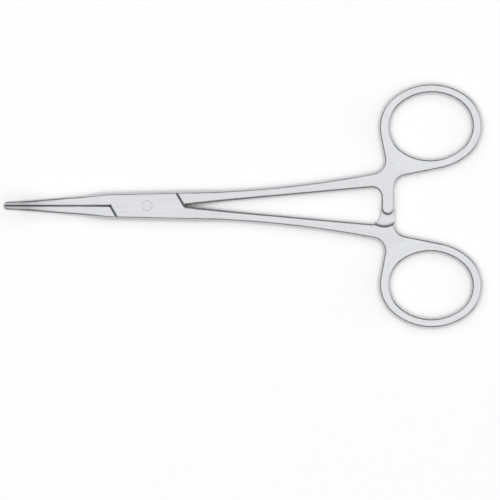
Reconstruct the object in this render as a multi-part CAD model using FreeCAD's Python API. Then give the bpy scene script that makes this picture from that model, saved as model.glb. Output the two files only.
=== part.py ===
import FreeCAD, Part
import math
import os

# Curved artery forceps, 140 mm long: two forged steel halves that cross in a box lock
# and turn on one riveted pin.
# The box half is the upper jaw, the slotted box and the lower handle. The tongue half is
# the lower jaw, the thin tongue that passes through the box's slot, and the upper handle.
# The forceps lie flat with their jaws closed. The origin is on the pin's axis, on the
# underside of the box. +X runs to the finger rings, +Y to the upper handle, and +Z up,
# the way the jaws curve. Lengths are in millimetres and angles in degrees.

Vector = FreeCAD.Vector
X_AXIS = Vector(1, 0, 0)
Y_AXIS = Vector(0, 1, 0)
Z_AXIS = Vector(0, 0, 1)
ORIGIN = Vector(0, 0, 0)
FAR = 200.0

# Box lock
box_thickness = 4.8
box_half_width = 3.78            # at the pin
box_flare_angle = 1.32           # how far each side of the box opens towards the rings
box_edge_round = 0.75
box_end_x = 11.0                 # the box blends into the jaws and shanks this far from the pin
lock_edge_x = 10.78              # where the box's slanted edges cross the centre line
lock_edge_slant = 30.3           # those edges lean this far from square
lock_edge_gap = 0.06             # between a slanted edge and the shoulder that it meets
lock_groove = 0.36               # half the width, and the depth, of the bevelled line along it
tongue_thickness = 1.6
tongue_gap = 0.04                # above and below the tongue in its slot
waist_radius = 3.5               # the tongue's waist turns inside this radius
waist_gap = 0.05
opening_angle = 50.0             # the waist's flats meet the ends of the slot here

# Pin
pin_radius = 1.1
pin_gap = 0.03                   # around the pin in the tongue's bore
pin_head_radius = 1.5
pin_head_depth = 0.45
pin_head_bevel = 0.06

# Jaws
pivot_to_tip = 41.86
jaw_taper_angle = 4.14           # of the outer side, seen from above
jaw_thickness = 3.44             # where the curve starts
jaw_slim_x = 19.5                # the box's thickness has come down to the jaw's here
jaw_tip_thickness = 1.5
jaw_curve_start = 21.25
jaw_curve_radius = 33.8
jaw_side_round = 1.1
jaw_inner_round = 0.34           # along the teeth, at the top and the underside
jaw_tip_round = 0.6              # of the tip, seen from the side
jaw_tip_flat = 0.05              # half of the flat left on the rounded tip, seen from above
parting_relief = 0.3             # from the centre line to each plain inner face

# Transverse teeth on the jaws
serration_start = 18.7
serration_pitch = 0.66
serration_depth = 0.5
serration_mesh = 0.04            # how far each crest stands past the centre line
serration_crest = 0.08           # width of the flat left on each crest

# Shanks
handle_thickness = 3.6
handle_edge_round = 0.9
shank_slim_x = 24.0              # the box's thickness has come down to the handle's here
crotch_half_gap = 0.25           # between the centre line and each shank where they part
shank_inner_angle = 5.23
shank_curve_start = 14.0
shank_curve_radius = 322.0

# Finger rings
ring_centre_x = 83.2
ring_centre_y = 23.28
ring_tilt = 3.0
ring_hole_half_length = 12.0
ring_hole_half_width = 9.75
ring_end_band = 3.15             # the band's width at the ends of the oval
ring_side_band = 2.87            # and along its sides
ring_hole_tightening = 1.1       # each oval's end arcs turn this much tighter than half its width
ring_outer_tightening = 1.27
ring_outer_shift = 0.1           # of the outer oval, from the hole's centre to the box and centre line
neck_outer_angle = 100.8         # direction of the side that runs up from the shank, tangent to the ring
neck_outer_fillet = 3.65
neck_inner_angle = 11.3          # direction of the side that runs from the ratchet arm, tangent to the ring
neck_inner_fillet = 3.5

# Ratchet
arm_x = 70.56                    # middle of each arm
arm_width = 4.1
arm_overlap = 2.67               # how far each arm reaches past the centre line
arm_fillet = 2.65
recess_centre_y = 1.14           # the round recess that halves each handle at its arm
recess_offset_x = -1.0
recess_radius = 4.92
recess_bevel = 0.35
ratchet_crest_gap = 0.05         # from the middle plane to each row of crests
ratchet_teeth = 3
ratchet_pitch = 1.3
ratchet_depth = 0.55

# Every rounded edge is a few narrow flats that turn the corner in equal steps
edge_flats = 3
flat_turn = 90 / (edge_flats + 1)

middle_z = box_thickness / 2
handle_round = min(handle_edge_round, 0.46 * ring_side_band, 0.46 * handle_thickness)


def slope(angle):
    """Rise for each millimetre along X of a line at this angle."""
    return math.tan(math.radians(angle))


def box_side_y(x):
    """Outer side of the closed box."""
    return box_half_width + slope(box_flare_angle) * x


def jaw_side_y(x):
    """Outer side of the upper jaw."""
    return box_side_y(-box_end_x) + slope(jaw_taper_angle) * (x + box_end_x)


def shank_inner_y(x):
    """Inner side of the upper shank."""
    return crotch_half_gap + slope(shank_inner_angle) * (x - box_end_x)


def shank_curve_centre():
    """Centre of the long arc that is the upper shank's outer side."""
    lean = math.radians(box_flare_angle)
    return Vector(
        shank_curve_start - shank_curve_radius * math.sin(lean),
        box_side_y(shank_curve_start) + shank_curve_radius * math.cos(lean),
        0,
    )


def shank_outer_y(x):
    """Outer side of the upper shank: straight on from the box, then the long arc."""
    if x < shank_curve_start:
        return box_side_y(x)
    centre = shank_curve_centre()
    return centre.y - math.sqrt(shank_curve_radius**2 - (x - centre.x) ** 2)


def ease(share):
    """0 to 1 with level ends."""
    share = min(max(share, 0.0), 1.0)
    return share * share * (3 - 2 * share)


def line(start, end):
    return Part.LineSegment(start, end).toShape()


def arc(start, through, end):
    return Part.Arc(start, through, end).toShape()


def prism(points, low_z, high_z):
    """A flat outline of (x, y) points, raised from low_z to high_z."""
    corners = [Vector(x, y, low_z) for x, y in points]
    face = Part.Face(Part.makePolygon(corners + corners[:1]))
    return face.extrude(Vector(0, 0, high_z - low_z))


def banded_section(place, low, high, low_round, high_round, low_flats=edge_flats):
    """Closed section in the plane of place: u across the thickness, v outwards.

    place turns (u, v) into a point. low and high are opposite (u, v) corners. Each corner is
    eased by narrow flats that touch a circle of low_round or high_round.
    """
    corners = [
        (low[0], low[1], -1, -1, low_round, low_flats),
        (high[0], low[1], 1, -1, low_round, low_flats),
        (high[0], high[1], 1, 1, high_round, edge_flats),
        (low[0], high[1], -1, 1, high_round, edge_flats),
    ]
    points = []
    for index, (u, v, out_u, out_v, radius, flats) in enumerate(corners):
        turn = 90 / (flats + 1)
        reach = 1 / math.cos(math.radians(turn / 2))
        angles = [turn * (step + 0.5) for step in range(flats + 1)]
        if index % 2 == 1:
            angles.reverse()
        for angle in angles:
            lean_u = math.cos(math.radians(angle)) * reach - 1
            lean_v = math.sin(math.radians(angle)) * reach - 1
            points.append(place(u + out_u * radius * lean_u, v + out_v * radius * lean_v))
    return Part.makePolygon(points + points[:1])


def upright_place(x):
    """Section plane square to X."""
    return lambda u, v: Vector(x, v, middle_z + u)


def turned_over(shape):
    """The same shape turned half round the centre line, which carries an upper handle to the lower one."""
    copy = shape.copy()
    copy.rotate(Vector(0, 0, middle_z), X_AXIS, 180)
    return copy


# The box


def box_block():
    """The closed box before anything is cut in it."""
    half = box_thickness / 2
    sections = []
    for x in (-box_end_x, box_end_x):
        side = box_side_y(x)
        low = (-half, -side)
        high = (half, side)
        sections.append(banded_section(upright_place(x), low, high, box_edge_round, box_edge_round))
    return Part.makeLoft(sections, True, True)


def lock_edge_at(y, end, gap=0.0):
    """Point of the box's slanted edge, at the front (end -1) or the rear (end 1).

    It is moved gap mm off the box.
    """
    offset = gap / math.cos(math.radians(lock_edge_slant))
    return (end * (lock_edge_x + offset) - slope(lock_edge_slant) * y, y)


def lock_groove_tool(end):
    """V-shaped cutters that bevel both sides of a slanted edge, on the top and the underside."""
    inner_y = -crotch_half_gap if end > 0 else parting_relief
    outer_y = end * (box_side_y(end * box_end_x) + 1.0)
    start = Vector(*lock_edge_at(inner_y, end, lock_edge_gap / 2), 0)
    finish = Vector(*lock_edge_at(outer_y, end, lock_edge_gap / 2), 0)
    run = finish - start
    across = run.cross(Z_AXIS).normalize()
    tools = []
    for surface_z, inward in ((0.0, 1.0), (box_thickness, -1.0)):
        apex = start + Z_AXIS * (surface_z + inward * lock_groove)
        left = start + across * (2 * lock_groove) + Z_AXIS * (surface_z - inward * lock_groove)
        right = start - across * (2 * lock_groove) + Z_AXIS * (surface_z - inward * lock_groove)
        tools.append(Part.Face(Part.makePolygon([apex, left, right, apex])).extrude(run))
    return tools


def slot_tool():
    """The slot through the box for the tongue: it runs from the lower jaw's side to the upper shank's."""
    half = tongue_thickness / 2 + tongue_gap
    end_x = waist_radius + waist_gap
    reach = box_end_x + 1.0
    outline = [
        (-reach, parting_relief),
        (-reach, -FAR),
        (end_x, -FAR),
        (end_x, -parting_relief),
        (reach, -parting_relief),
        (reach, FAR),
        (-end_x, FAR),
        (-end_x, parting_relief),
    ]
    return prism(outline, middle_z - half, middle_z + half)


def shoulder_clearance_tools():
    """What the box half gives up to the tongue half's jaw and shank, outside the slanted edges."""
    front = [
        lock_edge_at(parting_relief, -1),
        lock_edge_at(-FAR, -1),
        (-serration_start, -FAR),
        (-serration_start, parting_relief),
    ]
    rear = [
        lock_edge_at(-crotch_half_gap, 1),
        (FAR, -crotch_half_gap),
        (FAR, FAR),
        lock_edge_at(FAR, 1),
    ]
    return [prism(points, -FAR, FAR) for points in (front, rear)]


def cheek_clearance_tools():
    """What the tongue half gives up to the box's two cheeks, above and below the tongue."""
    outline = [
        lock_edge_at(-FAR, -1, lock_edge_gap),
        lock_edge_at(-FAR, 1, lock_edge_gap),
        lock_edge_at(FAR, 1, lock_edge_gap),
        lock_edge_at(FAR, -1, lock_edge_gap),
    ]
    top = middle_z + tongue_thickness / 2
    under = middle_z - tongue_thickness / 2
    return [prism(outline, top, FAR), prism(outline, -FAR, under)]


def waist_tools():
    """What the tongue half gives up beside its waist, so that it turns between the ends of the slot.

    Each side is an arc round the pin, and then a flat that meets the slot's end when the
    forceps are fully open.
    """
    flat_at = math.radians(180 - opening_angle)
    flat_normal = Vector(math.cos(flat_at), math.sin(flat_at), 0)
    along_flat = Vector(-flat_normal.y, flat_normal.x, 0)
    arc_end = flat_normal * waist_radius
    arc_start_y = -parting_relief
    arc_start = Vector(-math.sqrt(waist_radius**2 - arc_start_y**2), arc_start_y, 0)
    middle_at = (flat_at + math.pi) / 2
    arc_middle = Vector(math.cos(middle_at), math.sin(middle_at), 0) * waist_radius
    flat_end = arc_end - along_flat * FAR
    outer = Vector(-serration_start, flat_end.y, 0)
    far_corner = Vector(-serration_start, arc_start_y, 0)
    edges = [
        line(far_corner, arc_start),
        arc(arc_start, arc_middle, arc_end),
        line(arc_end, flat_end),
        line(flat_end, outer),
        line(outer, far_corner),
    ]
    tool = Part.Face(Part.Wire(edges)).extrude(Z_AXIS * (2 * FAR))
    tool.translate(Z_AXIS * -FAR)
    opposite = tool.copy()
    opposite.rotate(ORIGIN, Z_AXIS, 180)
    return [tool, opposite]


def pin_body(radius, head_radius):
    """Straight shank with a cone at each end, as the riveted pin fills its countersinks."""
    shank = Part.makeCylinder(radius, box_thickness)
    lower = Part.makeCone(head_radius, radius, pin_head_depth)
    upper = lower.copy()
    upper.rotate(Vector(0, 0, middle_z), X_AXIS, 180)
    return shank.fuse([lower, upper]).removeSplitter()


def lock_pin():
    """The riveted pin, ground flush with both faces of the box, with a fine bevel round each head."""
    pin = pin_body(pin_radius, pin_head_radius)
    rims = [
        edge
        for edge in pin.Edges
        if len(edge.Vertexes) == 1 and abs(edge.Length - 2 * math.pi * pin_head_radius) < 0.01
    ]
    return pin.makeChamfer(pin_head_bevel, rims)


# The jaws


def jaw_point(distance):
    """Point of the jaws' centre line this far from the pin, and its direction to the tip."""
    along = distance - jaw_curve_start
    if along <= 0:
        return Vector(-distance, 0, middle_z), Vector(-1, 0, 0)
    turn = along / jaw_curve_radius
    point = Vector(
        -jaw_curve_start - jaw_curve_radius * math.sin(turn),
        0,
        middle_z + jaw_curve_radius * (1 - math.cos(turn)),
    )
    return point, Vector(-math.cos(turn), 0, math.sin(turn))


def jaw_length():
    """Distance from the pin to the tip along the jaws' centre line."""
    turn = math.asin((pivot_to_tip - jaw_curve_start) / jaw_curve_radius)
    return jaw_curve_start + turn * jaw_curve_radius


def jaw_thickness_at(distance):
    """Thickness square to the centre line: the box's, the jaw's, then a taper to the tip."""
    if distance < jaw_curve_start:
        share = ease((distance - box_end_x) / (jaw_slim_x - box_end_x))
        return box_thickness + (jaw_thickness - box_thickness) * share
    share = (distance - jaw_curve_start) / (jaw_length() - jaw_curve_start)
    return jaw_thickness + (jaw_tip_thickness - jaw_thickness) * share


def round_loss(ahead, radius):
    """How far a rounded end of this radius has fallen back, ahead mm before its tip."""
    reach = max(radius - ahead, 0.0)
    return radius - math.sqrt(radius**2 - reach**2)


def jaw_nose_radius():
    """Radius of the jaw's rounded tip, seen from above."""
    return jaw_side_y(-pivot_to_tip) - jaw_tip_flat


def jaw_section(distance):
    """D-shaped section of the upper jaw: a flat inner side, and a back that is rounder towards the tip."""
    point, forward = jaw_point(distance)
    across = forward.cross(Y_AXIS)
    ahead = jaw_length() - distance
    half = jaw_thickness_at(distance) / 2 - round_loss(ahead, jaw_tip_round)
    back = jaw_side_y(point.x) - round_loss(ahead, jaw_nose_radius())
    share = ease((distance - box_end_x) / (jaw_slim_x - box_end_x))
    full_round = min(jaw_side_round, 0.92 * half, 0.8 * (back + serration_mesh))
    side_round = box_edge_round + (full_round - box_edge_round) * share
    return banded_section(
        lambda u, v: point + across * u + Y_AXIS * v,
        (-half, -serration_mesh),
        (half, back),
        min(jaw_inner_round, 0.6 * half),
        side_round,
        low_flats=1,
    )


def jaw_blank():
    """The upper jaw with a plain inner side, from the box to its rounded tip."""
    nose_start = jaw_length() - jaw_nose_radius()
    slim_length = jaw_slim_x - box_end_x
    curve_length = nose_start - jaw_curve_start
    root = [box_end_x + slim_length * share for share in (0, 0.12, 0.3, 0.5, 0.7, 0.88, 1)]
    curve = [jaw_curve_start + curve_length * share for share in (0, 0.25, 0.5, 0.75, 1)]
    round_shares = [math.sin(math.radians(angle)) for angle in (0, 28, 52, 70, 82)]
    nose = [nose_start + jaw_nose_radius() * share for share in round_shares]
    body = Part.makeLoft([jaw_section(distance) for distance in root + curve], True, False)
    tip = Part.makeLoft([jaw_section(distance) for distance in nose], True, True)
    return body.fuse(tip)


def serration_tools(first_distance):
    """V-shaped cutters across the jaw, one for each groove, square to its curved centre line."""
    half_width = (serration_pitch - serration_crest) / 2
    clear = 0.5
    spread = half_width * (1 + clear / serration_depth)
    count = math.ceil((jaw_length() - first_distance) / serration_pitch) + 1
    tools = []
    for index in range(count):
        point, forward = jaw_point(first_distance + index * serration_pitch)
        across = forward.cross(Y_AXIS)
        base = point - across * jaw_thickness
        crest_y = Y_AXIS * (-serration_mesh)
        apex = base + crest_y + Y_AXIS * serration_depth
        left = base + crest_y - Y_AXIS * clear + forward * spread
        right = base + crest_y - Y_AXIS * clear - forward * spread
        section = Part.Face(Part.makePolygon([apex, left, right, apex]))
        tools.append(section.extrude(across * (2 * jaw_thickness)))
    return tools


def jaw(first_groove):
    """The upper jaw, with its first groove this far from the pin.

    Behind the teeth its inner side is plain and relieved.
    """
    relief = prism(
        [
            (-serration_start, -FAR),
            (0, -FAR),
            (0, parting_relief),
            (-serration_start, parting_relief),
        ],
        -FAR,
        FAR,
    )
    return jaw_blank().cut([relief] + serration_tools(first_groove))


# The handles


def ring_hole():
    """Centre, half length, half width and end radius of the upper ring's hole."""
    centre = Vector(ring_centre_x, ring_centre_y, 0)
    end_radius = ring_hole_half_width - ring_hole_tightening
    return centre, ring_hole_half_length, ring_hole_half_width, end_radius


def ring_outside():
    """Centre, half length, half width and end radius of the upper ring's outer side."""
    centre = Vector(ring_centre_x - ring_outer_shift, ring_centre_y - ring_outer_shift, 0)
    half_length = ring_hole_half_length + ring_end_band
    half_width = ring_hole_half_width + ring_side_band
    return centre, half_length, half_width, half_width - ring_outer_tightening


def side_arc_radius(half_length, half_width, end_radius):
    """Radius of an oval's two flatter arcs, which run smoothly into its end arcs."""
    return (half_length**2 + half_width**2 - 2 * half_length * end_radius) / (2 * (half_width - end_radius))


def oval_point(oval, normal):
    """Point of an oval where its outward normal has this angle from +X."""
    centre, half_length, half_width, end_radius = oval
    side_radius = side_arc_radius(half_length, half_width, end_radius)
    end_centre = half_length - end_radius
    side_centre = side_radius - half_width
    local = math.radians(normal - ring_tilt)
    toward_end = math.cos(local)
    toward_side = math.sin(local)
    if abs(toward_side) * end_centre < abs(toward_end) * side_centre:
        u = math.copysign(end_centre, toward_end) + end_radius * toward_end
        v = end_radius * toward_side
    else:
        u = side_radius * toward_end
        v = side_radius * toward_side - math.copysign(side_centre, toward_side)
    return centre + FreeCAD.Rotation(Z_AXIS, ring_tilt).multVec(Vector(u, v, 0))


def oval_arcs(oval, first, last):
    """Arcs of an oval, clockwise from the normal angle first down to last."""
    centre, half_length, half_width, end_radius = oval
    side_centre = side_arc_radius(half_length, half_width, end_radius) - half_width
    join = math.degrees(math.atan2(side_centre, half_length - end_radius))
    joins = [ring_tilt + turn * 180 + side * join for turn in range(-2, 3) for side in (-1, 1)]
    stops = [first] + sorted((angle for angle in joins if last < angle < first), reverse=True) + [last]
    arcs = []
    for begin, finish in zip(stops, stops[1:]):
        arcs.append(arc(*(oval_point(oval, angle) for angle in (begin, (begin + finish) / 2, finish))))
    return arcs


def line_onto_shank(point, angle):
    """Where a line through point at this angle meets the shank's outer arc."""
    direction = Vector(math.cos(math.radians(angle)), math.sin(math.radians(angle)), 0)
    offset = point - shank_curve_centre()
    along = offset.dot(direction)
    reach = math.sqrt(along**2 - offset.dot(offset) + shank_curve_radius**2)
    return point + direction * (-along - math.copysign(reach, -along))


def handle_outline(start_x):
    """Outline of the upper handle from start_x back to the ring, with sharp corners at its necks."""
    arm_left = arm_x - arm_width / 2
    arm_right = arm_x + arm_width / 2
    arm_end_centre = -arm_overlap + arm_width / 2
    outer_normal = neck_outer_angle + 90
    inner_normal = neck_inner_angle - 90
    outer_touch = oval_point(ring_outside(), outer_normal)
    inner_touch = oval_point(ring_outside(), inner_normal)
    outer_start = Vector(start_x, shank_outer_y(start_x), 0)
    outer_corner = line_onto_shank(outer_touch, neck_outer_angle)
    outer_middle_x = (start_x + outer_corner.x) / 2
    outer_middle = Vector(outer_middle_x, shank_outer_y(outer_middle_x), 0)
    inner_corner_y = inner_touch.y + slope(neck_inner_angle) * (arm_right - inner_touch.x)
    inner_corner = Vector(arm_right, inner_corner_y, 0)
    arm_root = Vector(arm_left, shank_inner_y(arm_left), 0)
    inner_start = Vector(start_x, shank_inner_y(start_x), 0)
    edges = [arc(outer_start, outer_middle, outer_corner), line(outer_corner, outer_touch)]
    edges += oval_arcs(ring_outside(), outer_normal, inner_normal)
    edges += [
        line(inner_touch, inner_corner),
        line(inner_corner, Vector(arm_right, arm_end_centre, 0)),
        arc(
            Vector(arm_right, arm_end_centre, 0),
            Vector(arm_x, -arm_overlap, 0),
            Vector(arm_left, arm_end_centre, 0),
        ),
        line(Vector(arm_left, arm_end_centre, 0), arm_root),
        line(arm_root, inner_start),
        line(inner_start, outer_start),
    ]
    fillets = [
        (outer_corner, neck_outer_fillet),
        (inner_corner, neck_inner_fillet),
        (arm_root, arm_fillet),
    ]
    return Part.Wire(edges), fillets


def level_edges(shape, heights):
    """Edges of the handle that lie level at one of these heights above or below the middle plane."""
    edges = []
    for edge in shape.Edges:
        box = edge.BoundBox
        height = abs((box.ZMin + box.ZMax) / 2 - middle_z)
        level = box.ZLength < 0.001 and any(abs(height - wanted) < 0.001 for wanted in heights)
        if level and box.XMax > shank_slim_x:
            edges.append(edge)
    return edges


def handle_blank():
    """The upper handle at full thickness, from mid-shank to the ring, with rounded edges."""
    lead = 4.0
    outline, fillets = handle_outline(shank_slim_x - lead)
    blank = Part.Face(outline).extrude(Z_AXIS * handle_thickness)
    for corner, radius in fillets:
        upright = [
            edge
            for edge in blank.Edges
            if all(math.hypot(v.X - corner.x, v.Y - corner.y) < 0.01 for v in edge.Vertexes)
        ]
        blank = blank.makeFillet(radius, upright)
    hole = oval_arcs(ring_hole(), 180, -180)
    blank = blank.cut(Part.Face(Part.Wire(hole)).extrude(Z_AXIS * handle_thickness))
    blank.translate(Z_AXIS * (middle_z - handle_thickness / 2))
    half = handle_thickness / 2
    wide = handle_round * (1 - slope(flat_turn))
    narrow = handle_round * (slope(flat_turn) - slope(flat_turn / 2))
    blank = blank.makeChamfer(wide, level_edges(blank, [half]))
    blank = blank.makeChamfer(narrow, level_edges(blank, [half, half - wide]))
    keep = Part.makeBox(FAR, 2 * FAR, 2 * FAR, Vector(shank_slim_x, -FAR, -FAR))
    return blank.common(keep)


def shank_root(handle):
    """The upper shank from the box, easing from the box's thickness and edges to the handle's."""
    sections = []
    for share in (0, 0.2, 0.4, 0.6, 0.8):
        x = box_end_x + (shank_slim_x - box_end_x) * share
        half = (box_thickness + (handle_thickness - box_thickness) * ease(share)) / 2
        edge_round = box_edge_round + (handle_round - box_edge_round) * ease(share)
        sections.append(
            banded_section(
                upright_place(x),
                (-half, shank_inner_y(x)),
                (half, shank_outer_y(x)),
                edge_round,
                edge_round,
            )
        )
    end_face = min(handle.Faces, key=lambda face: face.CenterOfMass.x)
    sections.append(end_face.OuterWire)
    return Part.makeLoft(sections, True, False)


def ratchet_tools():
    """What the underside of the upper handle gives up: a round recess and the arm's teeth."""
    crest_z = middle_z + ratchet_crest_gap
    centre = Vector(arm_x + recess_offset_x, recess_centre_y, 0)
    recess = Part.makeCylinder(recess_radius, crest_z + FAR, centre - Z_AXIS * FAR)
    underside = centre + Z_AXIS * (middle_z - handle_thickness / 2)
    flare = recess_bevel + 1.0
    bevel = Part.makeCone(recess_radius + flare, recess_radius, flare, underside - Z_AXIS * 1.0)
    tools = [recess, bevel]
    left = arm_x - recess_radius
    width = 2 * recess_radius
    for index in range(ratchet_teeth):
        deep_y = -arm_overlap + index * ratchet_pitch
        corners = [
            Vector(left, deep_y, crest_z - 1e-3),
            Vector(left, deep_y, crest_z + ratchet_depth),
            Vector(left, deep_y + ratchet_pitch, crest_z - 1e-3),
        ]
        tools.append(Part.Face(Part.makePolygon(corners + corners[:1])).extrude(X_AXIS * width))
    teeth_end = -arm_overlap + ratchet_teeth * ratchet_pitch
    behind = Part.makeCylinder(recess_radius, crest_z + ratchet_depth + FAR, centre - Z_AXIS * FAR)
    behind = behind.common(Part.makeBox(2 * FAR, FAR, 3 * FAR, Vector(-FAR, teeth_end, -2 * FAR)))
    tools.append(behind)
    return tools


def handle():
    """The upper handle with its ring, its ratchet arm and the shank up to the box."""
    blank = handle_blank()
    root = shank_root(blank)
    return root, blank.cut(ratchet_tools())


# The two halves


def box_half():
    """Upper jaw, slotted box and lower handle."""
    root, grip = (turned_over(piece) for piece in handle())
    blank = box_block().fuse([jaw(serration_start + 0.75 * serration_pitch), root, grip])
    tools = shoulder_clearance_tools()
    tools.append(slot_tool())
    tools += lock_groove_tool(-1) + lock_groove_tool(1)
    tools.append(pin_body(pin_radius, pin_head_radius))
    return blank.cut(tools).removeSplitter()


def tongue_half():
    """Lower jaw, tongue and upper handle."""
    root, grip = handle()
    lower_jaw = jaw(serration_start + 0.25 * serration_pitch).mirror(ORIGIN, Y_AXIS)
    blank = box_block().fuse([lower_jaw, root, grip])
    tools = cheek_clearance_tools() + waist_tools()
    tools += lock_groove_tool(-1) + lock_groove_tool(1)
    tools.append(Part.makeCylinder(pin_radius + pin_gap, 2 * FAR, Vector(0, 0, -FAR)))
    return blank.cut(tools).removeSplitter()


def main():
    os.makedirs("parts", exist_ok=True)
    pieces = {"box_half": box_half, "tongue_half": tongue_half, "lock_pin": lock_pin}
    for name, build in pieces.items():
        shape = build()
        shape.exportStep(f"parts/{name}.step")
        volume = round(shape.Volume, 1)
        print(name, "solids", len(shape.Solids), "valid", shape.isValid(), "volume mm3", volume)


main()
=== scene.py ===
import math

import bpy
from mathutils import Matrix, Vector

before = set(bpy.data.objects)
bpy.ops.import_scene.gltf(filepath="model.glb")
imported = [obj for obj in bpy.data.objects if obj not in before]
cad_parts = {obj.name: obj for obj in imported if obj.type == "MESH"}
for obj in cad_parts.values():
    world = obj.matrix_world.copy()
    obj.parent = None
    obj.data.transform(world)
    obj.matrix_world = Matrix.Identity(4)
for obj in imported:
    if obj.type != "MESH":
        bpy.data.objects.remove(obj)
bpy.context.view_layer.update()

# Curved artery forceps in satin stainless steel, lying closed on a white table and seen from
# straight above. Lengths are in metres, in the frame of the part: the box lock's pin is the
# origin, and the rings lie toward +X.

# What the drawing shows: its width, and the point at its middle
VIEW_WIDTH = 0.14654
VIEW_CENTRE = (0.030157, -0.012954)
MIDDLE_Z = 0.0024                 # of the forceps
LENS = 1000.0                     # this and the sensor are in millimetres
SENSOR = 36.0
CLIP_END = 100.0

# Landmarks of the forceps, that the grain follows
BOX_END_X = 0.011
SHANK_LEAN = 0.0575               # slope at which the middle of each shank leaves the box
SHANK_BEND = 0.707                # what each further metre adds to its mean slope
JAW_CURVE_START = 0.02125
JAW_CURVE_CENTRE_Z = 0.0362
RING_CENTRE = (0.0832, 0.02328)
RING_RADIUS = 0.0115
RING_FINISH = (0.0165, 0.0145)    # the ring's own polish starts and is full this far from its centre

# Steel
STEEL = (0.7, 0.71, 0.73)
WORN_STEEL = (0.74, 0.75, 0.765)
# painted shade: the near-black steel that seams, grooves and the gaps between teeth are painted with,
# standing for their shade and in part for dark oxide
SEAM_SHADE_STEEL = (0.1, 0.1, 0.104)
GRAIN_ALONG = 70.0                # waves of the grain for each metre
GRAIN_ACROSS = 2600.0
PIN_RINGS = 4200.0
SCRATCH_WAVES = (160.0, 5200.0, 5200.0)
SCRATCH_ANGLES = (14.0, -31.0)
WEAR_RADIUS = 0.00035             # of the edges that handling has rubbed
SOFT_EDGE_RADIUS = 0.00012
SEAM_REACH = 0.0009               # how far round itself a point looks for walls
PIN_SEAM_REACH = 0.0004
# painted shade: how far the deepest seams are mixed toward that near-black
SEAM_SHADE_SHARE = 0.85
RELIEF_STRENGTH = 0.25
RELIEF_HEIGHT = 0.00002
SHARPEST_ROUND = 32.0             # degrees between two faces that still shade as one skin

# Table
TABLE_REACH = 20.0
TABLE_DROP = 0.00002
TABLE_WHITE = (0.95, 0.95, 0.95, 1.0)
TABLE_LIFT = 0.41                 # from the grey that the lamps give it up to white
# how far the table's painted shadow round the forceps reaches
SHADOW_REACH = 0.0013

# Sky and lamp
SKY_DARK = 0.1
SKY_BRIGHT = 1.1
SKY_RISE = (0.62, 0.92)           # heights between which the sky turns bright
HORIZON_BAND = (0.045, 0.03)      # heights between which it turns white again, low down
LOBE_DIRECTION = (0.87, 0.0, 0.49)  # a soft light over the rings, that the curved jaws mirror
LOBE_EDGE = (0.8, 0.95)
LOBE_LEVEL = 0.75
KEY_PLACE = (-0.9, 1.3, 1.7)
KEY_SIZE = 1.6
KEY_WATTS = 4.0
LAMP_AIM = (0.03, 0.0, 0.0)


# Shader nodes


def add(tree, kind, inputs=None, **settings):
    """A shader node with its settings, and its inputs set to a value or linked to a socket."""
    made = tree.nodes.new("ShaderNode" + kind)
    for name, value in settings.items():
        setattr(made, name, value)
    for name, value in (inputs or {}).items():
        if isinstance(value, bpy.types.NodeSocket):
            tree.links.new(value, made.inputs[name])
        else:
            made.inputs[name].default_value = value
    return made


def math_node(tree, operation, first, second=None, third=None):
    """The result of one piece of arithmetic."""
    inputs = {0: first}
    if second is not None:
        inputs[1] = second
    if third is not None:
        inputs[2] = third
    return add(tree, "Math", inputs, operation=operation).outputs[0]


def ranged(tree, value, low, high, to_low=0.0, to_high=1.0, smooth=False):
    """value carried from low..high to to_low..to_high, and held there outside it."""
    inputs = {"Value": value, "From Min": low, "From Max": high, "To Min": to_low, "To Max": to_high}
    kind = "SMOOTHSTEP" if smooth else "LINEAR"
    return add(tree, "MapRange", inputs, interpolation_type=kind).outputs["Result"]


def colour_mix(tree, share, first, second):
    """first where share is 0, second where it is 1."""
    mix = tree.nodes.new("ShaderNodeMix")
    mix.data_type = "RGBA"
    for socket, value in ((mix.inputs[0], share), (mix.inputs[6], first), (mix.inputs[7], second)):
        if isinstance(value, bpy.types.NodeSocket):
            tree.links.new(value, socket)
        else:
            socket.default_value = (*value, 1.0)
    return mix.outputs[2]


def vector_of(tree, x, y, z):
    return add(tree, "CombineXYZ", {0: x, 1: y, 2: z}).outputs[0]


def dot_product(tree, first, second):
    return add(tree, "VectorMath", {0: first, 1: second}, operation="DOT_PRODUCT").outputs["Value"]


def length_of(tree, x, y):
    """Length of the flat vector (x, y)."""
    squares = math_node(tree, "MULTIPLY_ADD", x, x, math_node(tree, "MULTIPLY", y, y))
    return math_node(tree, "SQRT", squares)


def noise(tree, vector, scale, detail, roughness):
    inputs = {"Vector": vector, "Scale": scale, "Detail": detail, "Roughness": roughness}
    return add(tree, "TexNoise", inputs, noise_dimensions="3D").outputs[0]


def openness(tree, reach):
    """1 in the open, and less where walls stand within reach."""
    return add(tree, "AmbientOcclusion", {"Distance": reach}, samples=8).outputs["AO"]


def new_material(name):
    """A material with its node tree and its shader."""
    material = bpy.data.materials.new(name)
    material.use_nodes = True
    return material, material.node_tree, material.node_tree.nodes["Principled BSDF"]


# Steel


def jaw_level(tree, x, z):
    """Distance from the centre of the jaws' curve, and from its height where they run straight."""
    past = math_node(tree, "MINIMUM", math_node(tree, "ADD", x, JAW_CURVE_START), 0.0)
    below = math_node(tree, "SUBTRACT", z, JAW_CURVE_CENTRE_Z)
    return length_of(tree, past, below)


def limb_grain(tree, x, y, z, side):
    """Brushed grain along the jaws, the box and the shank of the half with its handle to side."""
    behind = math_node(tree, "MAXIMUM", math_node(tree, "SUBTRACT", x, BOX_END_X), 0.0)
    lean = math_node(tree, "MULTIPLY_ADD", behind, SHANK_BEND, SHANK_LEAN)
    centre = math_node(tree, "MULTIPLY", math_node(tree, "MULTIPLY", behind, lean), side)
    across = math_node(tree, "SUBTRACT", y, centre)
    vector = vector_of(
        tree,
        math_node(tree, "MULTIPLY", x, GRAIN_ALONG),
        math_node(tree, "MULTIPLY", across, GRAIN_ACROSS),
        math_node(tree, "MULTIPLY", jaw_level(tree, x, z), GRAIN_ACROSS),
    )
    return noise(tree, vector, 1.0, 5.0, 0.62)


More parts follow.
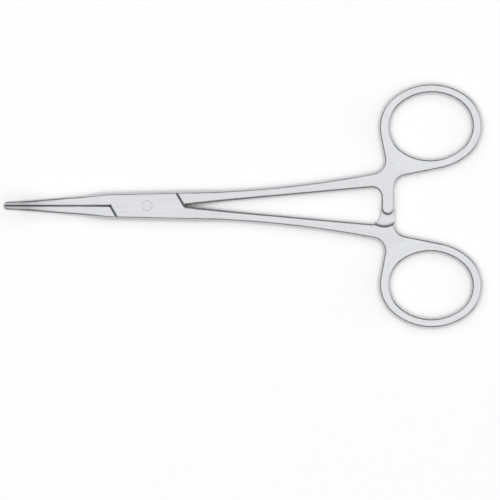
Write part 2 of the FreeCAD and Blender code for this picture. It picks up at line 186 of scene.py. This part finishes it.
def ring_grain(tree, x, y, z, side):
    """Polishing marks round the finger ring, and how far a point is from the ring's centre."""
    dx = math_node(tree, "SUBTRACT", x, RING_CENTRE[0])
    dy = math_node(tree, "SUBTRACT", y, RING_CENTRE[1] * side)
    distance = length_of(tree, dx, dy)
    turn = RING_RADIUS * GRAIN_ALONG
    along_x = math_node(tree, "MULTIPLY", math_node(tree, "DIVIDE", dx, distance), turn)
    along_y = math_node(tree, "MULTIPLY", math_node(tree, "DIVIDE", dy, distance), turn)
    vector = vector_of(
        tree,
        math_node(tree, "MULTIPLY_ADD", z, GRAIN_ACROSS, along_x),
        along_y,
        math_node(tree, "MULTIPLY", distance, GRAIN_ACROSS),
    )
    return noise(tree, vector, 1.0, 5.0, 0.62), distance


def scratches(tree, position, angle):
    """Sparse fine scratches that lean by angle from the length of the tool."""
    turn = (0.0, 0.0, math.radians(angle))
    mapping = {"Vector": position, "Rotation": turn, "Scale": SCRATCH_WAVES}
    turned = add(tree, "Mapping", mapping).outputs[0]
    return ranged(tree, noise(tree, turned, 1.0, 1.0, 0.5), 0.70, 0.78)


def worn_edges(tree, position):
    """1 where handling has rubbed an edge, in broken patches."""
    flat = add(tree, "NewGeometry").outputs["Normal"]
    rounded = add(tree, "Bevel", {"Radius": WEAR_RADIUS}, samples=6).outputs[0]
    edge = ranged(tree, dot_product(tree, flat, rounded), 0.985, 0.86)
    broken = ranged(tree, noise(tree, position, 900.0, 4.0, 0.6), 0.35, 0.65)
    return math_node(tree, "MULTIPLY", edge, broken)


def finish_steel(tree, shader, colour, rough, relief):
    """Link the finish to the shader. relief holds the inputs of the fine bumps."""
    relief = {"Strength": RELIEF_STRENGTH, "Distance": RELIEF_HEIGHT, **relief}
    tree.links.new(colour, shader.inputs["Base Color"])
    tree.links.new(rough, shader.inputs["Roughness"])
    tree.links.new(add(tree, "Bump", relief).outputs[0], shader.inputs["Normal"])
    shader.inputs["Metallic"].default_value = 1.0


def steel(name, side):
    """Satin stainless steel, brushed along the tool, with worn edges, and with painted shade in its
    seams that also stands for dark oxide there.
    """
    material, tree, shader = new_material(name)
    position = add(tree, "TexCoord").outputs["Object"]
    parts = add(tree, "SeparateXYZ", {0: position})
    x, y, z = parts.outputs[0], parts.outputs[1], parts.outputs[2]

    along = limb_grain(tree, x, y, z, side)
    around, ring_distance = ring_grain(tree, x, y, z, side)
    on_ring = ranged(tree, ring_distance, *RING_FINISH, smooth=True)
    grain = add(tree, "Mix", {0: on_ring, 2: along, 3: around}, data_type="FLOAT").outputs[0]
    patches = noise(tree, position, 130.0, 3.0, 0.55)
    marks = math_node(tree, "MAXIMUM", *(scratches(tree, position, angle) for angle in SCRATCH_ANGLES))
    worn = worn_edges(tree, position)
    # Painted shade: where walls stand close, in the seams, the lock's grooves and between the teeth,
    # the colour turns toward near-black steel and the surface rougher; this stands for their shade,
    # and in part for dark oxide.
    painted_seam_shade = ranged(tree, openness(tree, SEAM_REACH), 0.95, 0.5)

    tone = ranged(tree, grain, 0.3, 0.7, 0.9, 1.08)
    tone = math_node(tree, "MULTIPLY", tone, ranged(tree, patches, 0.3, 0.7, 0.97, 1.03))
    colour = add(tree, "VectorMath", {0: STEEL, 3: tone}, operation="SCALE").outputs[0]
    colour = colour_mix(tree, math_node(tree, "MULTIPLY", worn, 0.6), colour, WORN_STEEL)
    colour = colour_mix(tree, math_node(tree, "MULTIPLY", marks, 0.35), colour, WORN_STEEL)
    # painted shade in the seams: the colour is mixed toward near-black there
    colour = colour_mix(tree, math_node(tree, "MULTIPLY", painted_seam_shade, SEAM_SHADE_SHARE), colour, SEAM_SHADE_STEEL)

    rough = ranged(tree, grain, 0.3, 0.7, 0.25, 0.37)
    rough = math_node(tree, "ADD", rough, ranged(tree, patches, 0.3, 0.7, -0.035, 0.035))
    rough = math_node(tree, "SUBTRACT", rough, math_node(tree, "MULTIPLY", on_ring, 0.05))
    rough = math_node(tree, "SUBTRACT", rough, math_node(tree, "MULTIPLY", worn, 0.08))
    rough = math_node(tree, "ADD", rough, math_node(tree, "MULTIPLY", painted_seam_shade, 0.2))

    height = math_node(tree, "MULTIPLY_ADD", marks, -0.4, grain)
    soft_edge = add(tree, "Bevel", {"Radius": SOFT_EDGE_RADIUS}, samples=6).outputs[0]
    finish_steel(tree, shader, colour, rough, {"Height": height, "Normal": soft_edge})
    return material


def pin_steel():
    """The pin's ground ends: fine rings round its axis."""
    material, tree, shader = new_material("ground_pin_steel")
    position = add(tree, "TexCoord").outputs["Object"]
    parts = add(tree, "SeparateXYZ", {0: position})
    distance = length_of(tree, parts.outputs[0], parts.outputs[1])
    outward = vector_of(tree, 0.0, 0.0, math_node(tree, "MULTIPLY", distance, PIN_RINGS))
    rings = noise(tree, outward, 1.0, 4.0, 0.6)
    patches = noise(tree, position, 900.0, 3.0, 0.55)
    # Painted shade: the colour turns toward near-black steel where the pin's ends meet the box,
    # standing for the shade in that seam and in part for dark oxide.
    painted_seam_shade = ranged(tree, openness(tree, PIN_SEAM_REACH), 0.8, 0.3, 0.0, SEAM_SHADE_SHARE)

    tone = ranged(tree, rings, 0.3, 0.7, 0.88, 1.04)
    tone = math_node(tree, "MULTIPLY", tone, ranged(tree, patches, 0.3, 0.7, 0.96, 1.04))
    colour = add(tree, "VectorMath", {0: STEEL, 3: tone}, operation="SCALE").outputs[0]
    colour = colour_mix(tree, painted_seam_shade, colour, SEAM_SHADE_STEEL)
    rough = ranged(tree, rings, 0.3, 0.7, 0.22, 0.34)
    finish_steel(tree, shader, colour, rough, {"Height": rings})
    return material


def edge_rounding():
    """Joins a solid's faces and shades them as one skin, with only its sharper edges left sharp."""
    group = bpy.data.node_groups.new("edge_rounding", "GeometryNodeTree")
    group.interface.new_socket("Geometry", in_out="INPUT", socket_type="NodeSocketGeometry")
    group.interface.new_socket("Geometry", in_out="OUTPUT", socket_type="NodeSocketGeometry")
    start = group.nodes.new("NodeGroupInput")
    join = group.nodes.new("GeometryNodeMergeByDistance")
    join.inputs["Distance"].default_value = 1e-6
    bare = group.nodes.new("GeometryNodeRemoveAttribute")
    bare.inputs["Name"].default_value = "custom_normal"
    smooth = group.nodes.new("GeometryNodeSetShadeSmooth")
    turn = group.nodes.new("GeometryNodeInputMeshEdgeAngle")
    sharp = group.nodes.new("FunctionNodeCompare")
    sharp.operation = "GREATER_THAN"
    sharp.inputs["B"].default_value = math.radians(SHARPEST_ROUND)
    mark = group.nodes.new("GeometryNodeStoreNamedAttribute")
    mark.data_type = "BOOLEAN"
    mark.domain = "EDGE"
    mark.inputs["Name"].default_value = "sharp_edge"
    finish = group.nodes.new("NodeGroupOutput")
    link = group.links.new
    link(start.outputs[0], join.inputs["Geometry"])
    link(join.outputs["Geometry"], bare.inputs["Geometry"])
    link(bare.outputs["Geometry"], smooth.inputs["Geometry"])
    link(smooth.outputs["Geometry"], mark.inputs["Geometry"])
    link(turn.outputs["Unsigned Angle"], sharp.inputs["A"])
    link(sharp.outputs["Result"], mark.inputs["Value"])
    link(mark.outputs["Geometry"], finish.inputs[0])
    return group


def dress(node_name, material, rounding):
    """Give a node of the frame its finish, and shade its banded edges as smooth rounds."""
    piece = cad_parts[node_name]
    for slot in piece.material_slots:
        slot.link = "OBJECT"
        slot.material = material
    piece.modifiers.new("skin", "NODES").node_group = rounding
    normals = piece.modifiers.new("normals", "WEIGHTED_NORMAL")
    normals.mode = "FACE_AREA"
    normals.weight = 50
    normals.keep_sharp = True


# Table, light and camera


def place(thing):
    bpy.context.scene.collection.objects.link(thing)


def white_table():
    """A plain white table, as wide as any view needs, that stays darker close to the forceps, in part
    from their real shadow and in part from a painted shadow.
    """
    mesh = bpy.data.meshes.new("table_top")
    low, high = -TABLE_REACH, TABLE_REACH
    corners = [(low, low, 0.0), (high, low, 0.0), (high, high, 0.0), (low, high, 0.0)]
    mesh.from_pydata(corners, [], [(0, 1, 2, 3)])
    table = bpy.data.objects.new("table_top", mesh)
    table.location.z = -TABLE_DROP
    place(table)
    material, tree, shader = new_material("white_table")
    shader.inputs["Base Color"].default_value = TABLE_WHITE
    shader.inputs["Roughness"].default_value = 0.9
    shader.inputs["Specular IOR Level"].default_value = 0.0
    ray = add(tree, "LightPath").outputs
    seen = math_node(tree, "MAXIMUM", ray["Is Camera Ray"], ray["Is Glossy Ray"])
    seen = math_node(tree, "MAXIMUM", seen, ray["Is Transmission Ray"])
    # Painted shadow: the white lift fades out within SHADOW_REACH of the forceps, so the table is
    # painted darker round them.
    open_air = math_node(tree, "POWER", openness(tree, SHADOW_REACH), 2.0)
    lift = math_node(tree, "MULTIPLY", math_node(tree, "MULTIPLY", seen, open_air), TABLE_LIFT)
    shader.inputs["Emission Color"].default_value = (1.0, 1.0, 1.0, 1.0)
    tree.links.new(lift, shader.inputs["Emission Strength"])
    mesh.materials.append(material)


def studio_sky():
    """Soft light: bright overhead, dark lower down, and white where the sky meets the table."""
    world = bpy.data.worlds.new("studio")
    world.use_nodes = True
    tree = world.node_tree
    background = tree.nodes["Background"]
    direction = add(tree, "TexCoord").outputs["Generated"]
    upward = add(tree, "SeparateXYZ", {0: direction}).outputs[2]
    overhead = ranged(tree, upward, *SKY_RISE, SKY_DARK, SKY_BRIGHT, smooth=True)
    toward_lobe = dot_product(tree, direction, LOBE_DIRECTION)
    lobe = ranged(tree, toward_lobe, *LOBE_EDGE, 0.0, LOBE_LEVEL, smooth=True)
    band = ranged(tree, upward, *HORIZON_BAND)
    level = math_node(tree, "MAXIMUM", math_node(tree, "MAXIMUM", overhead, lobe), band)
    tree.links.new(level, background.inputs["Color"])
    background.inputs["Strength"].default_value = 1.0
    bpy.context.scene.world = world


def key_light():
    """A large square lamp that faces the forceps."""
    lamp = bpy.data.lights.new("key", "AREA")
    lamp.size = KEY_SIZE
    lamp.energy = KEY_WATTS
    holder = bpy.data.objects.new("key", lamp)
    holder.location = KEY_PLACE
    aim = Vector(LAMP_AIM) - Vector(KEY_PLACE)
    holder.rotation_euler = aim.to_track_quat("-Z", "Y").to_euler()
    place(holder)


def overhead_camera():
    """A very long lens, straight above the middle of the drawing."""
    lens_data = bpy.data.cameras.new("overhead")
    lens_data.lens = LENS
    lens_data.sensor_width = SENSOR
    lens_data.clip_end = CLIP_END
    camera = bpy.data.objects.new("overhead", lens_data)
    camera.location = (*VIEW_CENTRE, MIDDLE_Z + VIEW_WIDTH * LENS / SENSOR)
    place(camera)
    bpy.context.scene.camera = camera


rounding = edge_rounding()
dress("box_half", steel("satin_steel_lower", -1.0), rounding)
dress("tongue_half", steel("satin_steel_upper", 1.0), rounding)
dress("lock_pin", pin_steel(), rounding)
white_table()
studio_sky()
key_light()
overhead_camera()
bpy.context.scene.view_settings.view_transform = "Standard"
